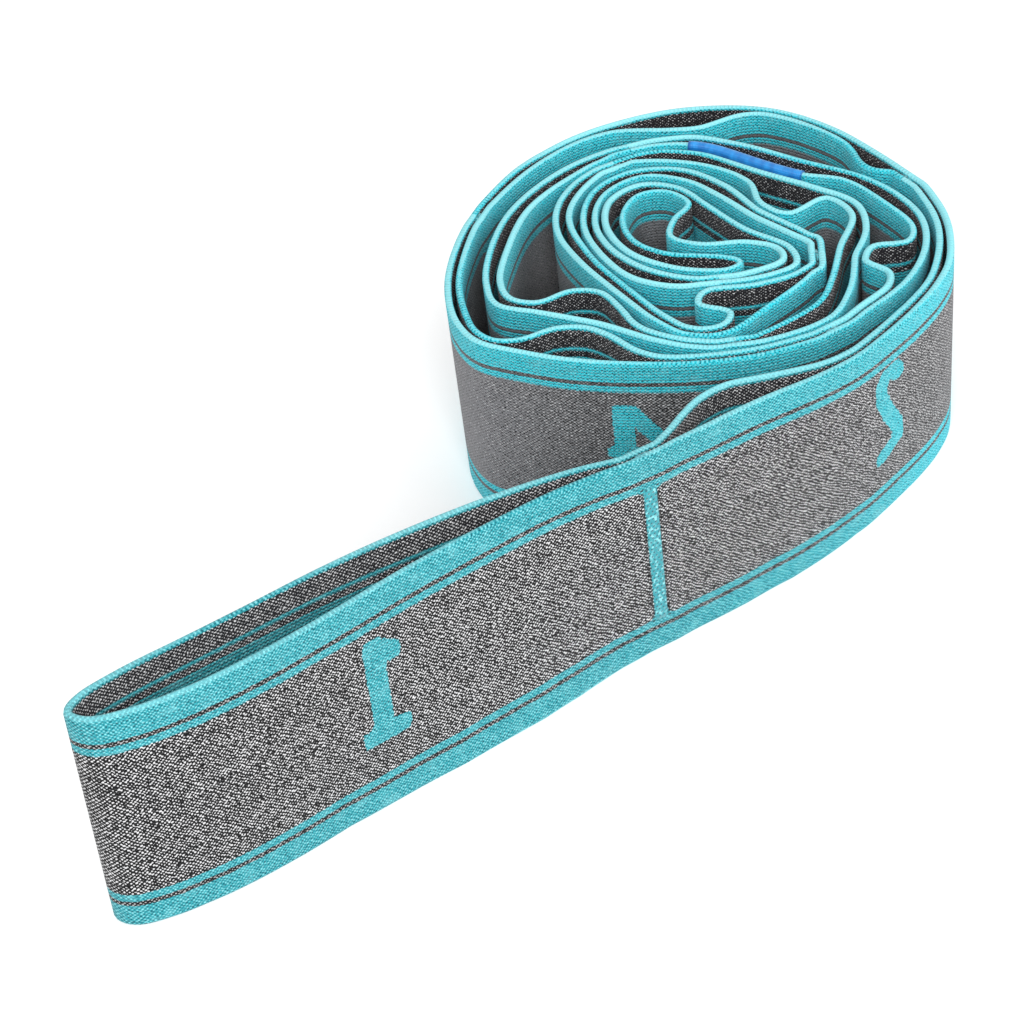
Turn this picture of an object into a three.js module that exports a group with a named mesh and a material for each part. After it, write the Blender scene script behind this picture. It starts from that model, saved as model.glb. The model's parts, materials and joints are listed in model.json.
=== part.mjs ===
// Stretching strap, rolled up and standing on one edge.
// Millimetres, +Z up, the strap's width runs along Z and its lower edge rests on z = 0.
// The strap is one endless band of elastic webbing laid double and joined crosswise by nine
// woven seams, which divide it into ten loops. Loop 1 is the free tail, loop 10 is the core.
// Seen from above the roll winds inwards counter-clockwise, from the tail to the core.
import * as THREE from "three";

const WIDTH = 40;               // width of the webbing
const PLY = 1.2;                // thickness of one ply
const GAP = 0.35;               // air between pieces that touch on the real strap
const PITCH = PLY + GAP + 0.1;  // least distance between the middles of two plies
const STEP = 1.5;               // spacing of the stations along the band
const SEAM_LENGTH = 3;          // length of a cross seam along the strap

// Middles of the nine cross seams in plan, from the tail to the core.
const SEAMS = [
  [14.7, -26.8], [67.3, 39.9], [-4.8, 45.7], [48, -0.8], [22.8, 61],
  [32.8, -1], [19.7, 56], [48.7, 21], [32.5, 16.9],
];

// The plies between the seams in plan. Outer plies face away from the roll, inner plies
// face its core; each list runs from the tail towards the core.
const OUTER = [
  [[-68.5, -71.3], [-63, -70.8], [-55, -68], [-45, -62.7], [-34, -55.5], [-23, -47.7], [-11.5, -40.4],
    [0, -33.8], [8, -30.3]],
  [[20, -24.7], [25, -22.2], [30, -19.5], [35, -17], [40, -14.9], [45, -12.6], [50.4, -9.4], [55.7, -4.7],
    [61, 0.7], [65.6, 6.6], [69.2, 13], [71, 21], [71.2, 27.5], [70.2, 33.7]],
  [[64, 48.5], [57.8, 58.5], [51.5, 64.8], [44, 69.4], [32, 71.5], [19, 69], [10.5, 64.8], [2.5, 58.5]],
  [[-9.2, 37], [-11.3, 26], [-10.7, 15.5], [-7.4, 8.5], [-1.5, 4.3], [6, 0.2], [16, -3.2], [28, -5.3],
    [38, -5]],
  [[55, 3.8], [62, 10], [66.5, 18.5], [67.5, 27], [65, 35], [60, 42.3], [51, 49.7], [42, 57.2], [33, 62]],
  [[13.5, 58.8], [5, 51.6], [-0.5, 43.5], [-4.2, 32], [-5, 24.5], [-3.8, 18.3], [3, 14.2], [12, 8.8],
    [22, 1.5]],
  [[41, -1.3], [48.5, 2], [52.5, 8.5], [55.5, 17.5], [58.4, 26.5], [57.8, 34], [52, 40.5], [44, 48],
    [35.5, 56.5], [27, 59.4]],
  [[12.5, 52.5], [8.7, 45.5], [8, 37], [11, 27], [16, 16.8], [21, 7.5], [26, 1.8], [31.5, 1.6],
    [39, 7.5], [46.5, 14.5]],
  [[48, 27], [42, 36], [37, 45.5], [30.5, 52], [22, 53.3], [15.5, 49], [12.5, 40], [14, 29], [18.5, 20.5],
    [25, 16.2]],
  [[40, 15.9], [45.3, 18], [45, 23.2], [38.5, 31], [33.5, 39.5], [29, 46.5], [23, 48.7], [17.5, 45],
    [16, 38], [18.5, 29], [25, 22.6], [31, 20], [34.6, 19.7]],
];
const INNER = [
  [[-70, -66.3], [-64, -61.7], [-56, -57], [-46, -51.2], [-35, -44.8], [-24, -39.3], [-9, -33],
    [3, -29]],
  [[18.7, -22.6], [21.9, -18.4], [25, -14.9], [29.5, -12.3], [35, -11.6], [40, -11], [45, -10.1], [50, -7.8],
    [54, -4.2], [57.8, -0.3], [61.7, 3.9], [65.2, 8.4], [67.6, 14], [69.3, 20.5], [69.8, 26.5], [69.2, 31.8]],
  [[64.4, 41.5], [61.2, 43.4], [59.9, 46.2], [59.7, 49.7], [58.9, 53.6], [56.2, 58.2], [51, 64.2], [47, 66.8],
    [43, 67.2], [39, 65.9], [35.5, 64.8], [30, 65.4], [25, 66.6], [20.5, 67.2], [14.5, 65.6], [9.3, 62.2],
    [3, 56]],
  [[-7.4, 36.5], [-9.5, 26], [-9, 16], [-7.8, 11.2], [-5.2, 8.3], [-1, 7.5], [5, 9.3], [10, 8.3], [13.5, 5], [17, 0.2],
    [21, -2.6], [30, -4], [39, -3.4]],
  [[54, 4.5], [58.3, 8], [59.4, 12.3], [55.8, 17.2], [57.6, 20.7], [64, 21], [65.5, 25], [62, 34], [57, 41.8],
    [50, 45.4], [41, 53], [33, 60.1]],
  [[15.5, 56.5], [8, 50.7], [3.2, 44.6], [-0.8, 34], [-2.7, 25], [-1.5, 19.6], [2.8, 17.4], [8.5, 19.4],
    [13, 18], [15.7, 12.8], [18, 7], [23, 2.7]],
  [[41, 2.5], [47.5, 7.2], [50.5, 13.5], [53.2, 22], [56.6, 31], [53.3, 37], [46.3, 33.7], [42.2, 37.7],
    [41.3, 45], [36.5, 51], [28, 55.4]],
  [[14, 50.5], [10.7, 44], [10.4, 38.5], [13, 29], [18, 17.5], [22.5, 8.6], [26.5, 3.8], [31.2, 3.9],
    [32.9, 7.2], [28.3, 10.8], [29.8, 14.2], [38, 14], [44.5, 15.6]],
  [[45.5, 27], [40.5, 34.2], [36, 41.8], [31, 48.2], [24, 51.4], [17.5, 47.8], [14.6, 39], [16.2, 30.7],
    [21, 23], [27, 18.8]],
  [[40, 18], [44, 19.5], [43.6, 23.6], [38.5, 26.8], [31, 28], [26.4, 31.5], [27.6, 36.7], [30.6, 41],
    [27.2, 45.7], [22.5, 45.6], [19.2, 39.5], [20.2, 31.8], [25, 26.8], [31.5, 24.4], [34.8, 23.1]],
];
const TAIL_TIP = [-71.3, -69.2];
const CORE_TIP = [36.7, 21.3];

// Side label: folded over the upper edge of the inner ply of loop 5.
const LABEL_LOOP = 5;
const LABEL_FROM = 62.8;          // from the seam before it, along the ply
const LABEL_LENGTH = 23;
const LABEL_CLOTH = 0.4;
const LABEL_DROP = 9;           // how far it hangs down on either side
const LABEL_ROOM = 0.75;        // extra room the neighbouring ply leaves it

const sub = (a, b) => [a[0] - b[0], a[1] - b[1]];
const add = (a, b, k = 1) => [a[0] + k * b[0], a[1] + k * b[1]];
const mid = (a, b) => [(a[0] + b[0]) / 2, (a[1] + b[1]) / 2];
const size = (a) => Math.hypot(a[0], a[1]);
const unit = (a) => [a[0] / size(a), a[1] / size(a)];
const left = (a) => [-a[1], a[0]];

// Closed run of the band: down the outer plies to the core, back along the inner plies.
function layBand() {
  const knots = [];
  const put = (point, seam = -1) => knots.push({ point, seam });
  const heading = SEAMS.map((s, k) => {
    const before = mid(OUTER[k].at(-1), INNER[k].at(-1));
    const after = mid(OUTER[k + 1][0], INNER[k + 1][0]);
    return unit(sub(after, before));
  });
  put(TAIL_TIP);
  OUTER.forEach((list, k) => {
    list.forEach((p) => put(p));
    if (k < SEAMS.length) put(add(SEAMS[k], left(heading[k]), -PITCH / 2), k);
  });
  put(CORE_TIP);
  for (let k = INNER.length - 1; k >= 0; k -= 1) {
    [...INNER[k]].reverse().forEach((p) => put(p));
    if (k > 0) put(add(SEAMS[k - 1], left(heading[k - 1]), PITCH / 2), k - 1);
  }
  const points = knots.map((k) => new THREE.Vector3(k.point[0], k.point[1], 0));
  const curve = new THREE.CatmullRomCurve3(points, true, "centripetal");
  // Stretches between marked knots are divided evenly, so a station falls on every mark.
  const marks = knots.map((k, i) => ({ ...k, i })).filter((k) => k.seam >= 0 || k.i === 0);
  marks.push({ seam: -1, i: knots.length, point: TAIL_TIP });
  const band = [];
  const stations = SEAMS.map(() => []);
  for (let m = 0; m + 1 < marks.length; m += 1) {
    const fine = [];
    const count = 40 * (marks[m + 1].i - marks[m].i);
    for (let n = 0; n <= count; n += 1) {
      const u = (marks[m].i + ((marks[m + 1].i - marks[m].i) * n) / count) / knots.length;
      const p = curve.getPoint(u % 1);
      fine.push([p.x, p.y]);
    }
    if (marks[m].seam >= 0) stations[marks[m].seam].push(band.length);
    band.push(...spaced(fine, STEP).slice(0, -1));
  }
  return { band, stations };
}

// The same line with its points spread evenly, about `step` apart.
function spaced(line, step) {
  const along = [0];
  for (let i = 1; i < line.length; i += 1) along.push(along[i - 1] + size(sub(line[i], line[i - 1])));
  const count = Math.round(along.at(-1) / step);
  const out = [];
  let i = 0;
  for (let n = 0; n <= count; n += 1) {
    const want = (along.at(-1) * n) / count;
    while (i < line.length - 2 && along[i + 1] < want) i += 1;
    const part = (want - along[i]) / (along[i + 1] - along[i]);
    out.push(add(line[i], sub(line[i + 1], line[i]), part));
  }
  return out;
}

// Moves point p off the stretch a-b of another ply until their middles are `apart` apart.
function part(p, a, b, apart) {
  const run = sub(b, a);
  const t = Math.min(1, Math.max(0, ((p[0] - a[0]) * run[0] + (p[1] - a[1]) * run[1]) / (size(run) ** 2)));
  const foot = add(a, run, t);
  const off = sub(p, foot);
  const lack = apart - size(off);
  if (lack <= 0) return;
  const push = unit(off);
  p[0] += (push[0] * lack) / 2;
  p[1] += (push[1] * lack) / 2;
  a[0] -= (push[0] * lack * (1 - t)) / 2;
  a[1] -= (push[1] * lack * (1 - t)) / 2;
  b[0] -= (push[0] * lack * t) / 2;
  b[1] -= (push[1] * lack * t) / 2;
}

// Lets the band settle: plies move apart until each has room for its own thickness, the
// shift fades out smoothly along the band, and at a seam the two plies lie side by side.
function settle({ band, stations }, room) {
  const laid = band.map((p) => [...p]);
  const count = band.length;
  const at = (i) => (i + count) % count;
  const near = new Array(count).fill(0);
  stations.flat().forEach((s) => {
    for (let k = 3; k <= 8; k += 1) {
      near[at(s + k)] = 1;
      near[at(s - k)] = 1;
    }
  });
  for (let round = 0; round < 260; round += 1) {
    if (round < 230) {
      const old = band.map((p) => [...p]);
      const shift = old.map((p, i) => sub(p, laid[i]));
      shift.forEach((d, i) => {
        const even = mid(shift[at(i - 1)], shift[at(i + 1)]);
        const eased = add(laid[i], add([0, 0], add(d, sub(even, d), 0.5), 0.985));
        const straight = mid(old[at(i - 1)], old[at(i + 1)]);
        [band[i][0], band[i][1]] = near[i] ? add(eased, sub(straight, eased), 0.15) : eased;
      });
    }
    for (let i = 0; i < count; i += 1) {
      for (let j = i + 4; j < count; j += 1) {
        const dx = band[i][0] - band[j][0];
        const dy = band[i][1] - band[j][1];
        const ring = Math.min(j - i, count - j + i);
        if (ring < 4 || dx * dx + dy * dy > 16) continue;
        const apart = PITCH + (room[i] || 0) + (room[j] || 0);
        part(band[i], band[j], band[at(j + 1)], apart);
        part(band[j], band[i], band[at(i + 1)], apart);
      }
    }
    stations.forEach(([o, n], seam) => {
      const now = mid(band[o], band[n]);
      const middle = round < 230 ? add(now, sub(SEAMS[seam], now), 0.2) : now;
      const ahead = mid(band[at(o + 5)], band[at(n - 5)]);
      const behind = mid(band[at(o - 5)], band[at(n + 5)]);
      const way = unit(sub(ahead, behind));
      for (let k = -2; k <= 2; k += 1) {
        const spot = add(middle, way, k * STEP);
        [band[at(o + k)][0], band[at(o + k)][1]] = add(spot, left(way), -PITCH / 2);
        [band[at(n - k)][0], band[at(n - k)][1]] = add(spot, left(way), PITCH / 2);
      }
    });
  }
  return band;
}

// Drops the stations a straight chord can do without.
function fewer(line, slack) {
  if (line.length < 3) return line;
  const way = unit(sub(line.at(-1), line[0]));
  let worst = 0;
  let where = 0;
  line.forEach((p, i) => {
    const d = sub(p, line[0]);
    const off = Math.abs(way[0] * d[1] - way[1] * d[0]);
    if (off > worst) { worst = off; where = i; }
  });
  if (worst <= slack) return [line[0], line.at(-1)];
  return [...fewer(line.slice(0, where + 1), slack).slice(0, -1), ...fewer(line.slice(where), slack)];
}

// Cuts `start` and `end` millimetres off the ends of a line.
function trimmed(line, start, end) {
  const cut = (points, length) => {
    let rest = length;
    let i = 0;
    while (size(sub(points[i + 1], points[i])) < rest) {
      rest -= size(sub(points[i + 1], points[i]));
      i += 1;
    }
    const way = unit(sub(points[i + 1], points[i]));
    return [add(points[i], way, rest), ...points.slice(i + 1)];
  };
  return cut(cut(line, start).reverse(), end).reverse();
}

// Offsets a line sideways; corners are mitred.
function shifted(line, by) {
  return line.map((p, i) => {
    const before = i > 0 ? unit(sub(p, line[i - 1])) : unit(sub(line[1], p));
    const after = i < line.length - 1 ? unit(sub(line[i + 1], p)) : before;
    const way = unit(add(before, after));
    const stretch = 1 / Math.max(0.8, way[0] * before[0] + way[1] * before[1]);
    return add(p, left(way), by * stretch);
  });
}

// An upright sheet following a plan line, from z = low to z = high.
function upright(line, thick, low, high) {
  const rim = [...shifted(line, thick / 2), ...shifted(line, -thick / 2).reverse()];
  const shape = new THREE.Shape(rim.map((p) => new THREE.Vector2(p[0], p[1])));
  const geometry = new THREE.ExtrudeGeometry(shape, { depth: high - low, bevelEnabled: false });
  geometry.translate(0, 0, low);
  return geometry;
}

const strap = new THREE.Group();
strap.name = "stretching_strap";

function piece(name, geometry, colour, roughness) {
  const material = new THREE.MeshStandardMaterial({ color: colour, roughness, metalness: 0 });
  const mesh = new THREE.Mesh(geometry, material);
  mesh.name = name;
  strap.add(mesh);
}

const laid = layBand();
const count = laid.band.length;
const slice = (from, to) => {
  const out = [];
  const last = to <= from ? to + count : to;
  for (let i = from; i <= last; i += 1) out.push(laid.band[i % count]);
  return out;
};

// Room for the label beside the stretch of ply that it wraps.
const room = new Array(count).fill(0);
const labelStart = laid.stations[LABEL_LOOP - 2][1];
const labelFirst = labelStart - Math.round((LABEL_FROM + LABEL_LENGTH) / STEP) - 2;
const labelLast = labelStart - Math.round(LABEL_FROM / STEP) + 2;
for (let i = labelFirst; i <= labelLast; i += 1) room[i] = LABEL_ROOM;

settle(laid, room);

const END = SEAM_LENGTH / 2 + GAP;
const WEBBING = 0x3fc1cf;
const two = (n) => String(n).padStart(2, "0");
const plyOf = (line) => upright(fewer(line, 0.03), PLY, 0, WIDTH);

laid.stations.forEach(([o, n], k) => {
  // Cross seam: both plies woven together over a short length.
  const way = unit(sub(laid.band[o + 1], laid.band[o - 1]));
  const middle = mid(laid.band[o], laid.band[n]);
  const line = [add(middle, way, -SEAM_LENGTH / 2), add(middle, way, SEAM_LENGTH / 2)];
  piece(`cross_seam_${two(k + 1)}`, upright(line, PITCH + PLY, 0, WIDTH), 0x35b4c4, 0.9);
});

// Loop 1 is one ply turning back on itself at the free end of the tail.
const [outerOne, innerOne] = laid.stations[0];
piece("loop_01_ply", plyOf(trimmed(slice(innerOne, outerOne), END, END)), WEBBING, 0.9);

for (let k = 1; k < SEAMS.length; k += 1) {
  const [outerA, innerA] = laid.stations[k - 1];
  const [outerB, innerB] = laid.stations[k];
  piece(`loop_${two(k + 1)}_outer_ply`, plyOf(trimmed(slice(outerA, outerB), END, END)), WEBBING, 0.9);
  piece(`loop_${two(k + 1)}_inner_ply`, plyOf(trimmed(slice(innerB, innerA), END, END)), WEBBING, 0.9);
}

// Loop 10 is one ply turning back on itself at the core of the roll.
const [outerTen, innerTen] = laid.stations.at(-1);
piece("loop_10_ply", plyOf(trimmed(slice(outerTen, innerTen), END, END)), WEBBING, 0.9);

// Side label: a strip of satin folded over the upper edge of a ply.
const labelledPly = fewer(trimmed(slice(laid.stations[LABEL_LOOP - 1][1], labelStart), END, END), 0.03);
const labelledLength = labelledPly.slice(1).reduce((sum, p, i) => sum + size(sub(p, labelledPly[i])), 0);
const labelLine = trimmed(labelledPly, labelledLength - LABEL_FROM - LABEL_LENGTH, LABEL_FROM);
const labelInside = PLY + 2 * 0.36;
const labelOutside = labelInside + 2 * LABEL_CLOTH;
const labelShape = (line) => {
  const rings = line.map((p, i) => {
    const before = unit(sub(p, line[Math.max(i - 1, 0)]));
    const after = unit(sub(line[Math.min(i + 1, line.length - 1)], p));
    const side = left(unit(add(i > 0 ? before : after, i < line.length - 1 ? after : before)));
    const top = WIDTH + 0.3;
    const corners = [
      [-labelOutside / 2, WIDTH - LABEL_DROP], [-labelInside / 2, WIDTH - LABEL_DROP],
      [-labelInside / 2, top], [labelInside / 2, top],
      [labelInside / 2, WIDTH - LABEL_DROP], [labelOutside / 2, WIDTH - LABEL_DROP],
      [labelOutside / 2, top + LABEL_CLOTH], [-labelOutside / 2, top + LABEL_CLOTH],
    ];
    return corners.map(([off, z]) => [...add(p, side, off), z]);
  });
  const around = rings[0].length;
  const spots = rings.flat();
  const faces = [];
  for (let r = 0; r + 1 < rings.length; r += 1) {
    for (let c = 0; c < around; c += 1) {
      const a = r * around + c;
      const b = r * around + ((c + 1) % around);
      faces.push(a, b, b + around, a, b + around, a + around);
    }
  }
  // The two cut ends: each is the fold's cross-section in six triangles.
  const section = [[0, 1, 7], [1, 2, 7], [2, 6, 7], [2, 3, 6], [3, 4, 6], [4, 5, 6]];
  const last = (rings.length - 1) * around;
  section.forEach(([a, b, c]) => {
    faces.push(c, b, a, last + a, last + b, last + c);
  });
  const geometry = new THREE.BufferGeometry();
  geometry.setAttribute("position", new THREE.Float32BufferAttribute(spots.flat(), 3));
  geometry.setIndex(faces);
  geometry.computeVertexNormals();
  return geometry;
};
piece("side_label", labelShape(labelLine), 0x2f86e4, 0.5);

// The middle of the strap's footprint sits on the origin.
const box = new THREE.Box3().setFromObject(strap);
strap.children.forEach((mesh) => {
  mesh.geometry.translate(-(box.min.x + box.max.x) / 2, -(box.min.y + box.max.y) / 2, -box.min.z);
});

export default strap;
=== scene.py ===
import json
import math

import bpy
import numpy as np
from mathutils import Matrix, Vector

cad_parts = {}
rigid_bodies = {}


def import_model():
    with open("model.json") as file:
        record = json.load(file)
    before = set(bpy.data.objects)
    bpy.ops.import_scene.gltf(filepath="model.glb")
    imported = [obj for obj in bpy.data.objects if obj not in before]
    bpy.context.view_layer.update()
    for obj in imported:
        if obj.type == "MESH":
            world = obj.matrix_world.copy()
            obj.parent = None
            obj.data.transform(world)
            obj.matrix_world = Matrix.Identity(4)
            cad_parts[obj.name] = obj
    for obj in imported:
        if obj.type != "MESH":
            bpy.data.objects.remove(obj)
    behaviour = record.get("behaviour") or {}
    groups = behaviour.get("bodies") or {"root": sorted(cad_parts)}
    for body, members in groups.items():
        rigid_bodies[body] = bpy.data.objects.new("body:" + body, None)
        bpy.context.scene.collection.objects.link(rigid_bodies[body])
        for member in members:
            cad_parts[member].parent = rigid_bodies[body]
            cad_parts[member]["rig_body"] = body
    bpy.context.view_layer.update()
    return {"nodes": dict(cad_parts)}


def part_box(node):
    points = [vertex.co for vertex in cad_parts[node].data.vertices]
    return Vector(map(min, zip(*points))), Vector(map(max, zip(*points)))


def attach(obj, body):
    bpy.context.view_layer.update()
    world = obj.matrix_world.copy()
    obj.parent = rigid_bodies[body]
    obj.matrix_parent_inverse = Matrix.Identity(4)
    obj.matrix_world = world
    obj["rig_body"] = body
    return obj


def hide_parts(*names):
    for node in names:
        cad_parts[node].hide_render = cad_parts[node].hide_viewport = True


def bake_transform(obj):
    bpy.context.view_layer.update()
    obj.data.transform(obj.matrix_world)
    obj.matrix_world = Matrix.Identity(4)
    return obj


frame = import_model()

# Lengths below are in millimetres, and MM turns them into the scene's metres.
MM = 0.001
WIDTH = 40.0            # width of the webbing
HALF = 0.6              # half the thickness of one ply
RIM = 0.55              # radius of the rounded selvedge
LOOPS = 10
BODY_OF = {n: o["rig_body"] for n, o in frame["nodes"].items()}


# ---------------------------------------------------------------- camera

FOCAL = 109.41          # mm on a sensor 36 mm wide
EYE = (-6.07, -401.50, 319.72)
PITCH = math.radians(37.5)
ROLL = math.radians(7.61)


def make_camera():
    ahead = Vector((0, math.cos(PITCH), -math.sin(PITCH)))
    level = Vector((1, 0, 0))
    above = level.cross(ahead)
    right = level * math.cos(ROLL) - above * math.sin(ROLL)
    up = right.cross(ahead)
    data = bpy.data.cameras.new("photo_view")
    data.sensor_width = 36
    data.lens = FOCAL
    camera = bpy.data.objects.new("photo_view", data)
    rotation = Matrix((right, up, -ahead)).transposed().to_4x4()
    camera.matrix_world = Matrix.Translation(Vector(EYE) * MM) @ rotation
    bpy.context.scene.collection.objects.link(camera)
    bpy.context.scene.camera = camera


make_camera()


# ---------------------------------------------------------------- plan lines of the plies

def cap_outline(node):
    """The outline of an upright CAD node seen from above, as points in order, in mm."""
    mesh = frame["nodes"][node].data
    points = np.array([v.co for v in mesh.vertices]) / MM
    keys = {}
    ids = []
    for p in points:
        key = tuple(np.round(p, 3))
        ids.append(keys.setdefault(key, len(keys)))
    spots = np.array(list(keys))
    top = spots[:, 2].max()
    edges = set()
    mesh.calc_loop_triangles()
    for tri in mesh.loop_triangles:
        a, b, c = (ids[i] for i in tri.vertices)
        if min(spots[a][2], spots[b][2], spots[c][2]) < top - 0.01:
            continue
        for e in ((a, b), (b, c), (c, a)):
            if (e[1], e[0]) in edges:
                edges.remove((e[1], e[0]))
            else:
                edges.add(e)
    after = dict(edges)
    start = next(iter(after))
    order = [start]
    while after[order[-1]] != start:
        order.append(after[order[-1]])
    return spots[order][:, :2]


def centre_line(node):
    """The middle of a ply in plan, found from the two long sides of its outline."""
    ring = cap_outline(node)
    count = len(ring)
    steps = np.roll(ring, -1, 0) - ring
    length = np.hypot(steps[:, 0], steps[:, 1])
    ways = steps / length[:, None]
    ends = []
    for i in range(count):
        before, after = ways[i - 1], ways[(i + 1) % count]
        square = abs(ways[i] @ before) < 0.15 and abs(ways[i] @ after) < 0.15
        if abs(length[i] - 2 * HALF) < 0.03 and square:
            ends.append(i)
    i, j = ends
    one = [ring[(i + 1 + k) % count] for k in range((j - i) % count)]
    two = [ring[(j + 1 + k) % count] for k in range((i - j) % count)][::-1]
    return (np.array(one) + np.array(two)) / 2


def smooth_line(points, step):
    """A rounded curve through the points (Catmull-Rom), sampled evenly."""
    first = 2 * points[0] - points[1]
    last = 2 * points[-1] - points[-2]
    p = np.vstack([first, points, last])
    out = []
    for k in range(1, len(p) - 2):
        a, b, c, d = p[k - 1 : k + 3]
        gaps = [max(np.hypot(*(v - u)), 1e-6) ** 0.5 for u, v in ((a, b), (b, c), (c, d))]
        out_slope = (b - a) / gaps[0] - (c - a) / (gaps[0] + gaps[1]) + (c - b) / gaps[1]
        in_slope = (c - b) / gaps[1] - (d - b) / (gaps[1] + gaps[2]) + (d - c) / gaps[2]
        m1, m2 = out_slope * gaps[1], in_slope * gaps[1]
        for t in np.linspace(0, 1, 16, endpoint=False):
            h = (2 * t**3 - 3 * t**2 + 1, t**3 - 2 * t**2 + t, -2 * t**3 + 3 * t**2, t**3 - t**2)
            out.append(h[0] * b + h[1] * m1 + h[2] * c + h[3] * m2)
    out.append(p[-2])
    return even_line(np.array(out), step)


def even_line(line, step):
    run = np.r_[0, np.cumsum(np.hypot(*np.diff(line, axis=0).T))]
    count = max(2, int(round(run[-1] / step)) + 1)
    at = np.linspace(0, run[-1], count)
    return np.stack([np.interp(at, run, line[:, 0]), np.interp(at, run, line[:, 1])], 1)


def seam_middle(k):
    low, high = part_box(f"cross_seam_{k:02d}")
    return np.array(((low + high) / 2)[:2]) / MM


SEAM = {k: seam_middle(k) for k in range(1, LOOPS)}


def far(a, b):
    return float(np.hypot(*(np.asarray(a) - np.asarray(b))))


def to_seam(line, k):
    """Carries the end of a line straight on to the middle of seam k."""
    way = line[-1] - line[-4]
    way = way / np.hypot(*way)
    return np.vstack([line, line[-1] + way * ((SEAM[k] - line[-1]) @ way)])


def ply_lines():
    """Every ply's line, walked so that the outside of the strap is on its right."""
    lines = {}
    for k in range(1, LOOPS + 1):
        if k in (1, LOOPS):
            line = centre_line(f"loop_{k:02d}_ply")
            x, y = line.T
            area = np.sum(x * np.roll(y, -1) - np.roll(x, -1) * y)
            line = line if area > 0 else line[::-1]
            seam = 1 if k == 1 else LOOPS - 1
            ends = {"ply": (seam, seam)}
        else:
            ends = {"outer_ply": (k - 1, k), "inner_ply": (k, k - 1)}
        for kind, (first, last) in ends.items():
            name = f"loop_{k:02d}_{kind}"
            if k not in (1, LOOPS):
                line = centre_line(name)
                if far(line[0], SEAM[first]) > far(line[-1], SEAM[first]):
                    line = line[::-1]
            line = smooth_line(line, 0.4)
            line = to_seam(line, last)
            line = to_seam(line[::-1], first)[::-1]
            lines[name] = line
    return lines


LINES = ply_lines()


# ---------------------------------------------------------------- how the webbing stands

# The lean is set so that the lower edges line up with the picture through the camera above.
# It also takes up whatever is wrong with that camera's height and pitch.
LEAN_ROLL = 7.3         # how far the lower edge of the roll is set back
LEAN_DEPTH = 16.0       # how far behind the front plies the full lean is reached
# The lean of the front plies: (x, set-back of the lower edge), the tail first.
LEAN_FRONT = [
    (-70, -0.7), (-58, -0.1), (-36, 0.1), (-26, -1.1), (-18, -2.0), (-5, -2.0), (1, -1.0),
    (8, 1.3), (13, 2.6), (30, 2.5), (38, 3.4), (50, 6.6), (60, 7.3),
]


def lean(x, y):
    """How far the lower edge stands from under the upper one, along Y."""
    front = np.interp(x, *zip(*LEAN_FRONT))
    front_line = np.maximum(-33 + 0.475 * x, -27)
    t = np.clip((y - front_line - 1) / LEAN_DEPTH, 0, 1)
    share = t * t * (3 - 2 * t)
    return front + (LEAN_ROLL - front) * share


def leaned(points):
    """Points in mm, with the strap's lean put in."""
    points = np.array(points, float)
    points[:, 1] += lean(points[:, 0], points[:, 1]) * (1 - points[:, 2] / WIDTH)
    return points


# ---------------------------------------------------------------- woven numbers

STROKE = 3.1            # usual width of a pen line
NUMBER_MIDDLE = 22.1    # height of a number's middle
NUMBER_AT = {2: 47.4, 4: 66.0}
NUMBER_USUAL = 49.5
NUMBER_ONE_FROM_TIP = 47.5
DIGIT_SPREAD = 11.5     # spacing of the two digits of a number


def arc(cx, cy, rx, ry, start, end, count=10):
    """Points of an arc; angles in degrees, anticlockwise from the right."""
    turn = [math.radians(start + (end - start) * i / count) for i in range(count + 1)]
    return [(cx + rx * math.cos(a), cy + ry * math.sin(a)) for a in turn]


# Each digit as pen lines around its own middle, each with its width.
# 1, 2 and 4 follow what can be seen of them; the others are hidden in the roll and are guessed.
DIGITS = {
    "1": [
        (3.75, [(0, -7.7), (0, 7.7)]),
        (3.1, [(-3.4, -8.05), (2.6, -8.05)]),
        (3.1, [(-1.4, 7.1), (-3.4, 5.7)]),
    ],
    "2": [
        (2.9, [(-2.3, 8.0), (-1.0, 9.6), (0.9, 9.4), (2.3, 7.6), (2.3, 5.0)]),
        (2.9, [(2.3, 5.0), (0.6, 1.0), (-2.1, -4.0), (-2.3, -6.4), (2.2, -8.6)]),
    ],
    "3": [(STROKE, arc(-0.3, 4.2, 3.4, 3.8, 150, -90) + arc(-0.3, -4, 3.6, 4.1, 90, -150))],
    "4": [
        (3.5, [(2.15, -7.9), (2.15, 6.9)]),
        (2.7, [(1.0, 7.3), (-4.2, 0.2), (-4.2, -2.2)]),
        (2.5, [(-4.2, -2.3), (3.9, -2.3)]),
    ],
    "5": [(STROKE, [(3.2, 8), (-2.8, 8), (-3, 0.8)] + arc(-0.2, -3.5, 3.6, 4.5, 120, -150))],
    "6": [
        (STROKE, arc(0, 4.2, 3.6, 3.9, 40, 180) + [(-3.6, -3.5)]),
        (STROKE, arc(0, -3.5, 3.6, 4.5, 0, 360, 20)),
    ],
    "7": [(STROKE, [(-3.6, 8), (3.4, 8), (-0.8, -8)])],
    "8": [(STROKE, arc(0, 4.4, 3.2, 3.6, 0, 360, 20)), (STROKE, arc(0, -3.9, 3.6, 4.2, 0, 360, 20))],
    "9": [
        (STROKE, arc(0, 3.5, 3.6, 4.5, 0, 360, 20)),
        (STROKE, arc(0, -4.2, 3.6, 3.9, -140, 0) + [(3.6, 3.5)]),
    ],
    "0": [(STROKE, arc(0, 0, 3.4, 8.0, 0, 360, 28))],
}


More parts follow.
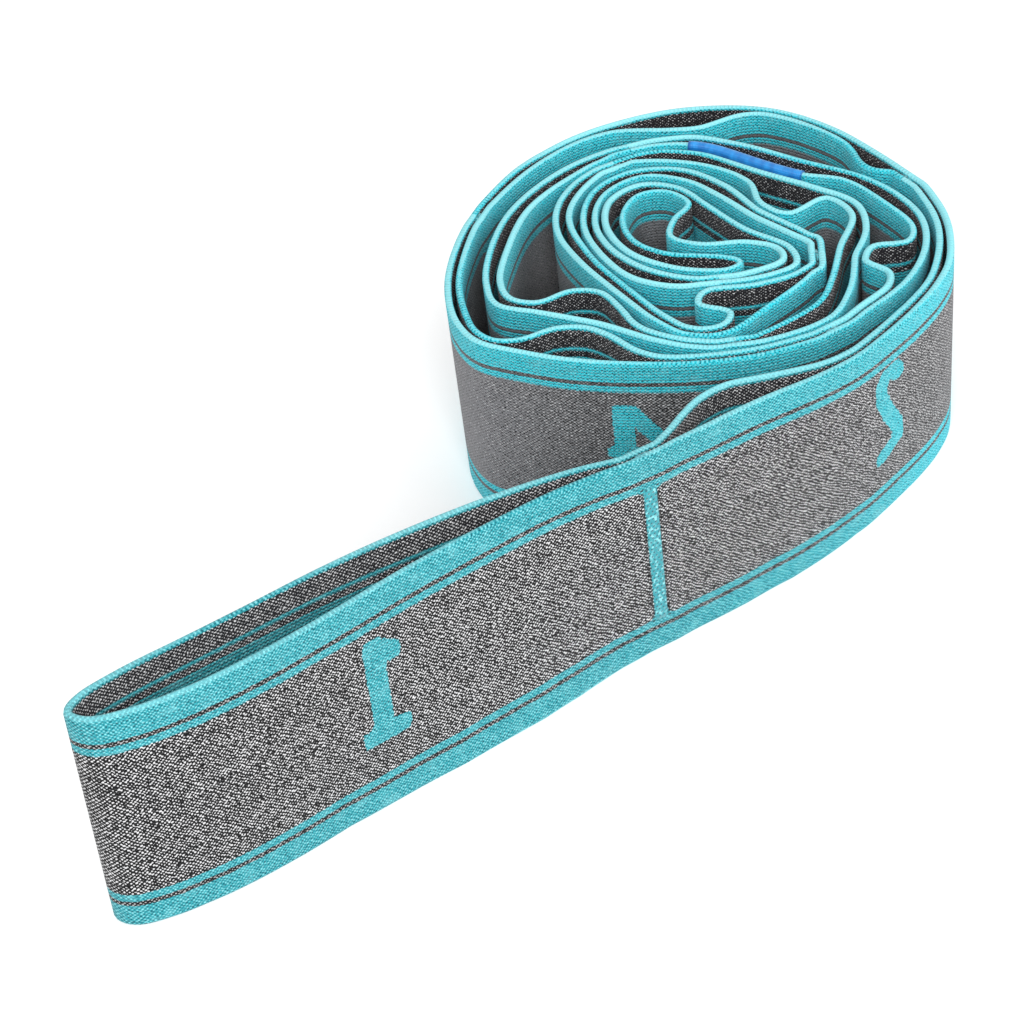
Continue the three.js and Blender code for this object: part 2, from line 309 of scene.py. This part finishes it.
def number_distance(text, u, v):
    """Signed distance to the edge of a number's strokes: below zero is on a stroke."""
    best = np.full(u.shape, 9.0)
    for i, digit in enumerate(text):
        x = u - (i - (len(text) - 1) / 2) * DIGIT_SPREAD
        for width, pen in DIGITS[digit]:
            for (ax, ay), (bx, by) in zip(pen, pen[1:]):
                rx, ry = bx - ax, by - ay
                t = np.clip(((x - ax) * rx + (v - ay) * ry) / (rx * rx + ry * ry), 0, 1)
                square = np.maximum(np.abs(x - ax - t * rx), np.abs(v - ay - t * ry))
                round_gap = np.hypot(x - ax - t * rx, v - ay - t * ry)
                best = np.minimum(best, 0.7 * square + 0.3 * round_gap - width / 2)
    return best


# ---------------------------------------------------------------- meshes

def new_mesh(name, verts, faces, smooth=True):
    mesh = bpy.data.meshes.new(name)
    mesh.from_pydata([tuple(v) for v in np.asarray(verts) * MM], [], faces)
    mesh.polygons.foreach_set("use_smooth", [smooth] * len(mesh.polygons))
    obj = bpy.data.objects.new(name, mesh)
    bpy.context.scene.collection.objects.link(obj)
    return obj


def put(obj, name, values):
    layer = obj.data.attributes.new(name, "FLOAT", "POINT")
    layer.data.foreach_set("value", np.asarray(values, np.float32).ravel())


# The same falloff sets how much painted fill light and selvedge highlight go into the colours in the
# roll.
CRISP_NO_FILL_AT = (-40, -58)   # on the tail, where the stitches stand out fully
CRISP_AND_FILL_SLOPE = (0.0022, -0.011)
CRISP_LEAST_MOST_FILL = 0.3


def crispness(x, y):
    """How strongly the grey ground's stitches stand out: 1 on the tail, less in the roll, where
    lower values also bring in painted fill light on the turquoise and grey and a painted highlight
    on the selvedge.
    """
    change = CRISP_AND_FILL_SLOPE[0] * (x - CRISP_NO_FILL_AT[0]) + CRISP_AND_FILL_SLOPE[1] * (y - CRISP_NO_FILL_AT[1])
    return np.clip(1 + change, CRISP_LEAST_MOST_FILL, 1)


def sharpen_ends(obj, size, count):
    """Keeps the shading of the long faces clear of the two cut ends."""
    pairs = np.empty(2 * len(obj.data.edges), np.int32)
    obj.data.edges.foreach_get("vertices", pairs)
    ring = pairs.reshape(-1, 2) // size
    cut = (ring[:, 0] == ring[:, 1]) & ((ring[:, 0] == 0) | (ring[:, 0] == count - 1))
    layer = obj.data.attributes.new("sharp_edge", "BOOLEAN", "EDGE")
    layer.data.foreach_set("value", cut)


def section(face_step):
    """The webbing's cross-section: (outward, height, side) round its rim."""
    rows = int(round((WIDTH - 2 * RIM) / face_step))
    heights = np.linspace(RIM, WIDTH - RIM, rows + 1)
    out = [(HALF, z, 1.0) for z in heights]
    bend = [math.pi * i / 6 for i in range(1, 6)]
    out += [(HALF * math.cos(a), WIDTH - RIM + RIM * math.sin(a), math.cos(a)) for a in bend]
    out += [(-HALF, z, -1.0) for z in heights[::-1]]
    out += [(-HALF * math.cos(a), RIM - RIM * math.sin(a), -math.cos(a)) for a in bend]
    return np.array(out)


def normals(line):
    """Unit vectors to the right of a line, at its points."""
    way = np.gradient(line, axis=0)
    way = way / np.hypot(way[:, 0], way[:, 1])[:, None]
    return np.stack([way[:, 1], -way[:, 0]], 1)


def wander(s, seed):
    """A slow irregular wave of size about 1, the same in every run."""
    return sum(math.sin(seed * 1.7 + k * 2.1 + s / (5.3 * k + 4)) for k in (1, 2, 3, 4)) / 2.2


def ribbon(name, line, start, end, number=None, number_at=0.0, step=0.7, face_step=1.0):
    """A length of webbing along a plan line, from start to end millimetres along it."""
    run = np.r_[0, np.cumsum(np.hypot(*np.diff(line, axis=0).T))]
    end = min(end, run[-1])
    count = int(round((end - start) / step)) + 1
    at = np.linspace(start, end, count)
    centre = np.stack([np.interp(at, run, line[:, 0]), np.interp(at, run, line[:, 1])], 1)
    side = np.stack([np.interp(at, run, c) for c in normals(line).T], 1)
    side /= np.hypot(side[:, 0], side[:, 1])[:, None]
    ring = section(face_step)
    size = len(ring)
    out, height, facing = ring.T
    seed = int(name[5:7]) + (0.5 if "inner" in name else 0.0)
    slow = np.array([wander(s, seed) for s in at])
    ends = np.minimum(1, np.minimum(at, run[-1] - at) / 12)
    verts = np.zeros((count, size, 3))
    verts[..., 0] = centre[:, :1] + side[:, :1] * out
    verts[..., 1] = centre[:, 1:] + side[:, 1:] * out
    verts[..., 2] = height + 0.12 * (slow * ends)[:, None] * (height / WIDTH)
    faces = []
    for i in range(count - 1):
        a, b = i * size, (i + 1) * size
        for j in range(size):
            k = (j + 1) % size
            faces.append((a + j, b + j, b + k, a + k))
    faces.append(tuple(range(size)))
    faces.append(tuple(reversed(range((count - 1) * size, count * size))))
    obj = new_mesh(name, leaned(verts.reshape(-1, 3)), faces)
    sharpen_ends(obj, size, count)
    along = np.repeat(at, size)
    across = np.tile(height, count) + np.repeat(0.22 * slow, size)
    put(obj, "along", along + 100 * seed)
    put(obj, "across", across)
    put(obj, "facing", np.tile(facing, count))
    near = np.minimum(along, run[-1] - along)
    put(obj, "to_seam", near)
    ink = np.full(along.shape, 9.0)
    if number:
        ink = number_distance(number, number_at - along, np.tile(height, count) - NUMBER_MIDDLE)
        ink = np.where(np.tile(facing, count) > 0.5, ink, 9.0)
    put(obj, "ink", ink)
    x, y = verts[..., 0].ravel(), verts[..., 1].ravel()
    put(obj, "crisp_vs_painted_fill", crispness(x, y))
    return obj, end - start


# ---------------------------------------------------------------- materials

class Nodes:
    """Short names for the shader nodes used below."""

    def __init__(self, name):
        self.material = bpy.data.materials.new(name)
        self.material.use_nodes = True
        self.tree = self.material.node_tree
        self.shader = self.tree.nodes["Principled BSDF"]

    def add(self, kind, **values):
        node = self.tree.nodes.new(kind)
        for key, value in values.items():
            setattr(node, key, value)
        return node

    def put(self, socket, value):
        if isinstance(value, bpy.types.NodeSocket):
            self.tree.links.new(value, socket)
        else:
            socket.default_value = value

    def read(self, name):
        return self.add("ShaderNodeAttribute", attribute_name=name).outputs["Fac"]

    def math(self, operation, *values, clamp=False):
        node = self.add("ShaderNodeMath", operation=operation, use_clamp=clamp)
        for socket, value in zip(node.inputs, values):
            self.put(socket, value)
        return node.outputs[0]

    def ramp(self, value, low, high):
        """0 at low, 1 at high and beyond, smoothly."""
        node = self.add("ShaderNodeMapRange", interpolation_type="SMOOTHSTEP")
        self.put(node.inputs["Value"], value)
        self.put(node.inputs["From Min"], low)
        self.put(node.inputs["From Max"], high)
        return node.outputs["Result"]

    def mix(self, share, one, two):
        node = self.add("ShaderNodeMix", data_type="RGBA")
        self.put(node.inputs["Factor"], share)
        self.put(node.inputs["A"], one)
        self.put(node.inputs["B"], two)
        return node.outputs["Result"]

    def join(self, x, y, z=0.0):
        node = self.add("ShaderNodeCombineXYZ")
        for socket, value in zip(node.inputs, (x, y, z)):
            self.put(socket, value)
        return node.outputs[0]

    def noise(self, vector, scale, detail=2.0):
        node = self.add("ShaderNodeTexNoise", noise_dimensions="3D")
        self.put(node.inputs["Vector"], vector)
        node.inputs["Scale"].default_value = scale
        node.inputs["Detail"].default_value = detail
        return node.outputs["Fac"]

    def white(self, vector):
        node = self.add("ShaderNodeTexWhiteNoise", noise_dimensions="2D")
        self.put(node.inputs["Vector"], vector)
        return node.outputs["Value"]

    def bump(self, height, strength, distance):
        node = self.add("ShaderNodeBump")
        self.put(node.inputs["Height"], height)
        node.inputs["Strength"].default_value = strength
        node.inputs["Distance"].default_value = distance
        self.tree.links.new(node.outputs[0], self.shader.inputs["Normal"])


def colour(r, g, b):
    """An sRGB colour, 0 to 255, as the linear one that a shader takes."""
    def line(c):
        c = c / 255
        return c / 12.92 if c <= 0.04045 else ((c + 0.055) / 1.055) ** 2.4
    return (line(r), line(g), line(b), 1.0)


TURQUOISE = colour(38, 140, 150)
TURQUOISE_PAINTED_FILL = colour(42, 196, 212)
TURQUOISE_LIGHT = colour(124, 196, 202)
TURQUOISE_DEEP = colour(4, 78, 90)
TURQUOISE_SELVEDGE_AND_HIGHLIGHT = colour(146, 214, 220)
CHARCOAL = colour(26, 26, 31)
GREY = colour(102, 102, 104)
GREY_PAINTED_FILL = colour(122, 122, 125)
SPECK_DARK = colour(6, 6, 8)
SPECK_LIGHT = colour(196, 196, 197)
ROW = 0.65              # spacing of the knitted rows across the webbing
STITCH = 0.735          # spacing of the stitches along it
STRIPE = (4.35, 5.2)    # the stripe in the border, from the nearer edge
BORDER = 6.55           # where the heather ground begins
REVERSE_EDGE = 0.6      # turquoise edge of the reverse, outside its dark bands
REVERSE_BORDER = 6.5
RIB = 0.66              # spacing of the ribs that the bump shows
SEAM_SHADE_DOT_STEP = 0.8            # spacing of the dots of painted contact shade beside a seam
SEAM_HALF = 1.2         # half the width of a woven seam on the webbing's face
CORNER = 1.6            # rounding of the heather ground beside a seam


def knit_dots(n, u, v, along, across):
    """Small round stitch holes in staggered rows: 1 in a hole, 0 between them."""
    row = n.math("FLOOR", n.math("DIVIDE", v, across))
    shift = n.math("MULTIPLY", n.math("MODULO", row, 2.0), 0.5)
    x = n.math("FRACT", n.math("ADD", n.math("DIVIDE", u, along), shift))
    y = n.math("FRACT", n.math("DIVIDE", v, across))
    dx = n.math("MULTIPLY", n.math("SUBTRACT", x, 0.5), along)
    dy = n.math("MULTIPLY", n.math("SUBTRACT", y, 0.5), across)
    away = n.math("SQRT", n.math("ADD", n.math("MULTIPLY", dx, dx), n.math("MULTIPLY", dy, dy)))
    return n.ramp(away, 0.24, 0.1)


def speckle(n, u, v, along, across):
    """One random value for each stitch, in staggered rows."""
    row = n.math("FLOOR", n.math("DIVIDE", v, across))
    shift = n.math("MULTIPLY", n.math("MODULO", row, 2.0), 0.5)
    cell = n.math("FLOOR", n.math("ADD", n.math("DIVIDE", u, along), shift))
    return n.white(n.join(cell, row))


def webbing_material():
    n = Nodes("elastic_webbing")
    u, v = n.read("along"), n.read("across")
    facing, ink, to_seam = n.read("facing"), n.read("ink"), n.read("to_seam")
    spot = n.join(u, v, n.math("MULTIPLY", facing, 3.0))
    fuzz = n.math("SUBTRACT", n.noise(spot, 1.7), 0.5)
    # Distance in from the nearer edge, a little ragged as a knitted edge is.
    edge = n.math("MINIMUM", v, n.math("SUBTRACT", WIDTH, v))
    edge = n.math("ADD", edge, n.math("MULTIPLY", fuzz, 0.5))

    dots = knit_dots(n, u, v, STITCH, ROW)
    grain = speckle(n, u, v, 0.44, 0.36)
    blotch = n.noise(spot, 0.35)
    # Stitches in staggered rows, broken up by chance: high on a loop, low in a hole.
    jog = n.math("MULTIPLY", n.math("SUBTRACT", n.noise(spot, 0.9), 0.5), 0.6)
    wale = n.math("COSINE", n.math("MULTIPLY", n.math("ADD", u, jog), math.tau / STITCH))
    course = n.math("COSINE", n.math("MULTIPLY", n.math("ADD", v, jog), math.tau / ROW))
    chance = n.math("SUBTRACT", n.noise(spot, 2.4, 2.0), 0.5)
    knit = n.math("ADD", n.math("MULTIPLY", wale, course), n.math("MULTIPLY", chance, 2.8))
    knit = n.math("ADD", knit, n.math("MULTIPLY", n.math("SUBTRACT", grain, 0.5), 0.5))

    # Turquoise yarn: light loops and deep stitch holes. It is brighter in the roll, to match the
    # picture's even light; the cloth itself is the same all along.
    crisp_vs_painted_fill = n.read("crisp_vs_painted_fill")
    light = n.math("MULTIPLY", n.ramp(knit, 0.15, 0.95), 0.9)
    deep = n.math("MULTIPLY", n.ramp(knit, -0.3, -0.9), 0.95)
    # The brighter turquoise in the roll is painted fill light.
    yarn_with_painted_fill = n.mix(n.ramp(crisp_vs_painted_fill, 0.8, 0.45), TURQUOISE, TURQUOISE_PAINTED_FILL)
    turquoise = n.mix(light, yarn_with_painted_fill, TURQUOISE_LIGHT)
    turquoise = n.mix(deep, turquoise, TURQUOISE_DEEP)
    turquoise = n.mix(n.math("MULTIPLY", n.ramp(blotch, 0.5, 0.8), 0.3), turquoise, TURQUOISE_LIGHT)
    # Heather ground: black and white stitches on grey. Fewer stand out in the roll, where the
    # picture is softer and paler; there the grey is lifted by painted fill light, as the cloth is
    # the same all along.
    rest = n.math("SUBTRACT", 1.0, crisp_vs_painted_fill)
    sparse = n.math("MULTIPLY", n.math("MULTIPLY", rest, rest), 1.8)
    bar = n.math("ADD", sparse, 0.1)
    low = n.math("SUBTRACT", knit, n.math("MULTIPLY", crisp_vs_painted_fill, 0.42))
    high = n.math("SUBTRACT", knit, n.math("MULTIPLY", crisp_vs_painted_fill, 0.3))
    black = n.ramp(n.math("ADD", low, bar), 0.06, -0.06)
    white = n.ramp(n.math("SUBTRACT", high, bar), 0.0, 0.12)
    grey = n.mix(n.ramp(crisp_vs_painted_fill, 0.6, 0.35), GREY, GREY_PAINTED_FILL)
    grey = n.mix(black, grey, SPECK_DARK)
    grey = n.mix(white, grey, SPECK_LIGHT)
    # Inner faces: the same stitches on charcoal.
    few = n.math("ADD", n.math("MULTIPLY", sparse, 0.4), 0.3)
    dark = n.mix(n.ramp(n.math("SUBTRACT", knit, few), 0.0, 0.25), CHARCOAL, SPECK_LIGHT)

    def between(low, high):
        soft = 0.12
        rise = n.ramp(edge, low - soft, low + soft)
        fall = n.ramp(edge, high + soft, high - soft)
        return n.math("MULTIPLY", rise, fall)

    # Outside: turquoise border, dark stripe, turquoise stripe, heather ground.
    number = n.ramp(n.math("ADD", ink, n.math("MULTIPLY", fuzz, 0.7)), 0.12, -0.12)
    past_edge = n.math("SUBTRACT", edge, BORDER)
    past_seam = n.math("SUBTRACT", n.math("ADD", to_seam, n.math("MULTIPLY", fuzz, 0.3)), SEAM_HALF)
    lack_edge = n.math("MAXIMUM", n.math("SUBTRACT", CORNER, past_edge), 0.0)
    lack_seam = n.math("MAXIMUM", n.math("SUBTRACT", CORNER, past_seam), 0.0)
    edge_squared = n.math("MULTIPLY", lack_edge, lack_edge)
    seam_squared = n.math("MULTIPLY", lack_seam, lack_seam)
    lack = n.math("ADD", edge_squared, seam_squared)
    ground = n.ramp(n.math("SUBTRACT", CORNER, n.math("SQRT", lack)), -0.12, 0.12)
    ground = n.math("MULTIPLY", ground, n.math("SUBTRACT", 1.0, number))
    outside = n.mix(between(*STRIPE), turquoise, n.mix(0.4, grey, SPECK_DARK))
    outside = n.mix(ground, outside, grey)
    # Painted contact shade along both sides of a seam, as a dotted dark line where the heather meets
    # it.
    seam_contact_shade = n.ramp(n.math("COSINE", n.math("MULTIPLY", v, math.tau / SEAM_SHADE_DOT_STEP)), -0.3, 0.3)
    beside = n.ramp(n.math("ABSOLUTE", n.math("SUBTRACT", past_seam, 0.25)), 0.4, 0.15)
    seam_contact_shade = n.math("MULTIPLY", n.math("MULTIPLY", seam_contact_shade, beside), n.ramp(edge, 5.6, 6.4))
    outside = n.mix(n.math("MULTIPLY", seam_contact_shade, 0.8), outside, SPECK_DARK)
    # Inside of the loops: the same weave with its colours swapped.
    inside = n.mix(between(REVERSE_EDGE, STRIPE[0]), turquoise, dark)
    inside = n.mix(between(STRIPE[1], REVERSE_BORDER), inside, dark)
    base = n.mix(n.ramp(facing, -0.35, -0.15), inside, outside)
    # The selvedge is a row of light loops; its colour also carries a painted highlight on the
    # rounded edge, stronger in the roll than on the tail.
    rim = n.ramp(edge, 0.35, 0.1)
    rim_painted_highlight = n.math("SUBTRACT", 1.0, n.math("MULTIPLY", crisp_vs_painted_fill, 0.65))
    base = n.mix(n.math("MULTIPLY", rim, rim_painted_highlight), base, TURQUOISE_SELVEDGE_AND_HIGHLIGHT)
    n.put(n.shader.inputs["Base Color"], base)

    n.shader.inputs["Roughness"].default_value = 0.9
    n.shader.inputs["Specular IOR Level"].default_value = 0.15
    n.shader.inputs["Sheen Weight"].default_value = 0.1
    n.shader.inputs["Sheen Roughness"].default_value = 0.5
    ribs = n.math("SINE", n.math("MULTIPLY", v, math.tau / RIB))
    height = n.math("ADD", n.math("MULTIPLY", ribs, 0.3), n.math("MULTIPLY", grain, 0.7))
    height = n.math("SUBTRACT", height, n.math("MULTIPLY", dots, 0.9))
    height = n.math("ADD", height, n.math("MULTIPLY", number, 0.35))
    n.bump(height, 0.7, 0.00018)
    return n.material


def seam_material():
    n = Nodes("woven_cross_seam")
    u, v = n.read("along"), n.read("across")
    dots = knit_dots(n, u, v, 0.8, 0.75)
    grain = speckle(n, u, v, 0.4, 0.4)
    base = n.mix(n.ramp(grain, 0.6, 0.98), TURQUOISE, TURQUOISE_LIGHT)
    base = n.mix(n.math("MULTIPLY", dots, 0.85), base, TURQUOISE_DEEP)
    n.put(n.shader.inputs["Base Color"], base)
    n.shader.inputs["Roughness"].default_value = 0.88
    n.shader.inputs["Sheen Weight"].default_value = 0.2
    n.bump(n.math("SUBTRACT", grain, dots), 0.8, 0.0002)
    return n.material


def label_material():
    n = Nodes("blue_satin_label")
    u, v = n.read("along"), n.read("across")
    warp = n.math("SINE", n.math("MULTIPLY", u, math.tau / 0.3))
    weft = n.math("SINE", n.math("MULTIPLY", v, math.tau / 0.42))
    spot = n.join(u, v)
    cloud = n.noise(spot, 0.5)
    base = n.mix(n.ramp(cloud, 0.3, 0.75), colour(8, 108, 184), colour(34, 148, 222))
    edge = n.ramp(n.read("to_seam"), 0.6, 0.25)
    base = n.mix(n.math("MULTIPLY", edge, 0.6), base, colour(6, 72, 140))
    n.put(n.shader.inputs["Base Color"], base)
    n.shader.inputs["Roughness"].default_value = 0.38
    n.shader.inputs["Sheen Weight"].default_value = 0.15
    n.bump(n.math("ADD", warp, n.math("MULTIPLY", weft, 0.6)), 0.5, 0.00005)
    return n.material


WEBBING = webbing_material()
SEAM_CLOTH = seam_material()
LABEL_CLOTH = label_material()


# ---------------------------------------------------------------- plies


def bend_from(piece):
    """Bakes the piece's placement into its mesh and leaves it on no body."""
    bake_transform(piece)


def dress(piece, node):
    piece.data.materials.append(WEBBING)
    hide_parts(node)


def make_plies():
    for name, line in LINES.items():
        loop = int(name[5:7])
        body = BODY_OF[name]
        inner = "inner" in name
        total = np.hypot(*np.diff(line, axis=0).T).sum()
        number, at = None, 0.0
        if not inner:
            number = str(loop)
            at = NUMBER_AT.get(loop, NUMBER_USUAL)
            if loop == 1:
                at = total / 2 + NUMBER_ONE_FROM_TIP
        face_step = 1.0 if number else 3.0
        parts = [(name, 0.0, total)]
        if loop == 2:
            parts = [(name + "_first", 0.0, total / 2), (name + "_second", total / 2, total)]
        for part, start, end in parts:
            piece, length = ribbon(part, line, start, end, number, at, face_step=face_step)
            dress(piece, name)
            core_end = (start == 0) if inner else (end == total)
            host = f"cross_seam_{loop:02d}" if loop < LOOPS else None
            if loop == 1:
                bend_from(piece)
            elif loop == 2 and not core_end:
                bend_from(piece)
            elif host and BODY_OF[host] != body:
                bend_from(piece)
            else:
                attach(piece, body)


make_plies()


# ---------------------------------------------------------------- cross seams

BAND_WIDTH = 2.4        # raised woven band on each outside face
BAND_PROUD = 0.1
BAND_LOW = 6.4
BAND_HIGH = 33.6


def bar(path, half_wide, half_thick, low, high):
    """A rounded upright bar in local axes: across the strap (x) and through it (y)."""
    count = 12
    rows = max(2, int((high - low) / 0.8))
    verts, faces = [], []
    for r in range(rows + 1):
        z = low + (high - low) * r / rows
        shrink = 1 - 0.25 * (abs(2 * r / rows - 1) ** 12)
        for c in range(count):
            a = math.tau * (c + 0.5) / count
            x = math.copysign(abs(math.cos(a)) ** 0.5, math.cos(a)) * half_wide * shrink
            y = math.copysign(abs(math.sin(a)) ** 0.5, math.sin(a)) * half_thick * shrink
            verts.append((path[0] + x, path[1] + y, z))
    for r in range(rows):
        for c in range(count):
            d = (c + 1) % count
            faces.append((r * count + c, r * count + d, (r + 1) * count + d, (r + 1) * count + c))
    faces.append(tuple(reversed(range(count))))
    faces.append(tuple(range(rows * count, (rows + 1) * count)))
    return verts, faces


def make_seam(k):
    """The threads that hold the two plies together: a core between them and a band on each face."""
    name = f"cross_seam_{k:02d}"
    outer = "loop_10_ply" if k == LOOPS - 1 else f"loop_{k + 1:02d}_outer_ply"
    way = LINES[outer][8] - LINES[outer][0]
    way = way / np.hypot(*way)
    side = np.array([way[1], -way[0]])
    edge = float((LINES[outer][0] - SEAM[k]) @ side)
    verts, faces = [], []
    bars = [bar((0, 0), 1.5, edge - HALF + 0.06, 0.5, WIDTH - 0.45)]
    for sign in (1, -1):
        middle = sign * (edge + HALF + BAND_PROUD - 0.2)
        bars.append(bar((0, middle), BAND_WIDTH / 2, 0.2, BAND_LOW, BAND_HIGH))
    for part_verts, part_faces in bars:
        base = len(verts)
        verts += part_verts
        faces += [tuple(base + i for i in f) for f in part_faces]
    local = np.array(verts)
    plan = SEAM[k] + local[:, :1] * way + local[:, 1:2] * side
    placed = np.column_stack([plan, local[:, 2]])
    obj = new_mesh(name, leaned(placed), faces)
    put(obj, "along", local[:, 0] + local[:, 1] * 0.5 + 50)
    put(obj, "across", local[:, 2])
    obj.data.materials.append(SEAM_CLOTH)
    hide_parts(name)
    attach(obj, BODY_OF[name])


for seam_number in range(1, LOOPS):
    make_seam(seam_number)


# ---------------------------------------------------------------- side label

LABEL_PLY = "loop_05_inner_ply"
LABEL_IN = 0.76         # half the gap between the label's two halves
LABEL_CLOTH_THICK = 0.2
LABEL_DROP = 9.0


def make_label():
    line = LINES[LABEL_PLY]
    run = np.r_[0, np.cumsum(np.hypot(*np.diff(line, axis=0).T))]
    mesh = frame["nodes"]["side_label"].data
    spots = np.array([v.co[:2] for v in mesh.vertices]) / MM
    near = [run[np.argmin(np.hypot(*(line - p).T))] for p in spots]
    start, end = min(near), max(near)
    at = np.arange(start, end + 0.01, 0.5)
    centre = np.stack([np.interp(at, run, c) for c in line.T], 1)
    side = np.stack([np.interp(at, run, c) for c in normals(line).T], 1)
    side /= np.hypot(side[:, 0], side[:, 1])[:, None]
    out, low = LABEL_IN, WIDTH - LABEL_DROP
    path = [(out, low + d) for d in np.linspace(0, LABEL_DROP - 0.7, 10)]
    path += [(out * math.cos(a), WIDTH - 0.7 + (out + 0.05) * math.sin(a))
             for a in (math.pi * i / 8 for i in range(1, 8))]
    path += [(-o, z) for o, z in path[:10][::-1]]
    path = np.array(path)
    off = np.stack([-np.gradient(path[:, 1]), np.gradient(path[:, 0])], 1)
    off /= -np.hypot(off[:, 0], off[:, 1])[:, None]
    ring = np.vstack([path + off * LABEL_CLOTH_THICK, path[::-1]])
    size, count = len(ring), len(at)
    verts = np.zeros((count, size, 3))
    flare = np.array([0.06 * wander(s * 2, 3) for s in at])[:, None] * np.sign(ring[:, 0])
    wide = ring[:, 0] + flare * np.clip((WIDTH - 1 - ring[:, 1]) / LABEL_DROP, 0, 1)
    verts[..., 0] = centre[:, :1] + side[:, :1] * wide
    verts[..., 1] = centre[:, 1:] + side[:, 1:] * wide
    verts[..., 2] = ring[:, 1]
    faces = []
    for i in range(count - 1):
        a, b = i * size, (i + 1) * size
        for j in range(size):
            k = (j + 1) % size
            faces.append((a + j, b + j, b + k, a + k))
    faces.append(tuple(range(size)))
    faces.append(tuple(reversed(range((count - 1) * size, count * size))))
    obj = new_mesh("side_label", leaned(verts.reshape(-1, 3)), faces)
    put(obj, "along", np.repeat(at, size))
    put(obj, "across", np.tile(ring[:, 1], count))
    ends = np.minimum(at - start, end - at)
    put(obj, "to_seam", np.minimum(np.repeat(ends, size), np.tile(ring[:, 1] - low, count)))
    obj.data.materials.append(LABEL_CLOTH)
    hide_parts("side_label")
    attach(obj, BODY_OF["side_label"])


make_label()


# ---------------------------------------------------------------- studio

def make_floor():
    size = 3000
    z = -0.05
    corners = [(-size, -size, z), (size, -size, z), (size, size, z), (-size, size, z)]
    floor = new_mesh("floor", corners, [(0, 1, 2, 3)], smooth=False)
    n = Nodes("pale_floor")
    place = n.add("ShaderNodeTexCoord").outputs["Object"]
    shade = n.mix(n.noise(place, 3.0), (0.98, 0.98, 0.98, 1), (1, 1, 1, 1))
    n.put(n.shader.inputs["Base Color"], shade)
    n.shader.inputs["Roughness"].default_value = 0.9
    floor.data.materials.append(n.material)


def area_light(name, place, target, size, power):
    data = bpy.data.lights.new(name, "AREA")
    data.shape = "SQUARE"
    data.size = size
    data.energy = power
    lamp = bpy.data.objects.new(name, data)
    lamp.location = place
    lamp.rotation_euler = (Vector(target) - Vector(place)).to_track_quat("-Z", "Y").to_euler()
    bpy.context.scene.collection.objects.link(lamp)


def make_studio():
    world = bpy.data.worlds.new("studio")
    bpy.context.scene.world = world
    world.use_nodes = True
    back = world.node_tree.nodes["Background"]
    back.inputs["Color"].default_value = (1, 1, 1, 1)
    back.inputs["Strength"].default_value = 0.76
    area_light("softbox_right", (0.8, -0.3, 0.45), (0.02, 0.02, 0.02), 0.8, 3.8)
    area_light("softbox_front", (-0.05, -0.74, 0.62), (0, 0, 0.02), 0.4, 7.5)
    bpy.context.scene.view_settings.view_transform = "Standard"


make_floor()
make_studio()
